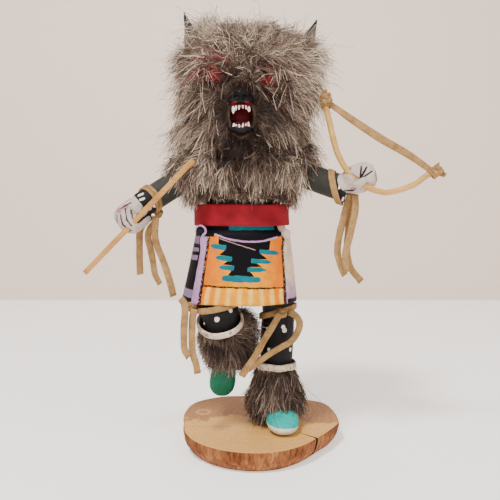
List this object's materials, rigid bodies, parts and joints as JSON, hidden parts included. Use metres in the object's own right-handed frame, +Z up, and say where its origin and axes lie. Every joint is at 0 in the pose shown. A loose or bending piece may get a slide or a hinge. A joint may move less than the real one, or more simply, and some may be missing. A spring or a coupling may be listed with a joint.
{
  "type": "kachina doll",
  "caption": "Carved wolf kachina doll in fur, sash and painted kilt, holding a small bow and a reed, standing on one leg on a slice of branch.",
  "frame": {"origin": "centre of the slab's flat underside, on the surface that the doll stands on", "axes": "+Z up, the doll faces -Y, its left hand with the bow is towards +X"},
  "size_m": [0.1834, 0.0951, 0.235],
  "materials": {
    "slab_wood": "sawn face, lightly sealed, with bark left on the rim",
    "painted_wood": "carved wood with matt acrylic paint: slate limbs, black bands with white dots, white fists, turquoise shoes",
    "painted_head": "carved wood painted black, red and white at the mouth",
    "ear_hide": "thin stiff hide with short hair",
    "fur": "grey-brown rabbit pelt with pale guard hairs and a bare skin edge",
    "sash_cloth": "deep red woven cloth",
    "kilt_leather": "smooth leather painted with a stepped pattern in orange, black, teal and lavender",
    "suede": "tan suede lace with a soft nap",
    "reed": "peeled reed and twig, satin"
  },
  "bodies": {
    "root": {"base_slab": "slab_wood", "figure": "painted_wood", "head": "painted_head", "arm_right": "painted_wood", "arm_left": "painted_wood", "ear_right": "ear_hide", "ear_left": "ear_hide", "fur_hood": "fur", "fur_mantle": "fur", "sash": "sash_cloth", "kilt": "kilt_leather", "leg_fur_right": "fur", "leg_fur_left": "fur", "reed": "reed", "bow_stave": "reed", "bow_lashing_top": "suede", "bow_lashing_low": "suede", "bow_string": "suede", "wrist_tie_right": "suede", "wrist_tie_left": "suede", "knee_tie_right": "suede", "knee_tie_left": "suede", "lace_wrist_right_1": "suede", "lace_wrist_right_2": "suede", "lace_wrist_right_3": "suede", "lace_wrist_left_1": "suede", "lace_wrist_left_2": "suede", "lace_wrist_left_3": "suede", "lace_knee_right_1": "suede", "lace_knee_right_2": "suede", "lace_knee_left_1": "suede", "lace_knee_left_2": "suede"}
  },
  "joints": []
}
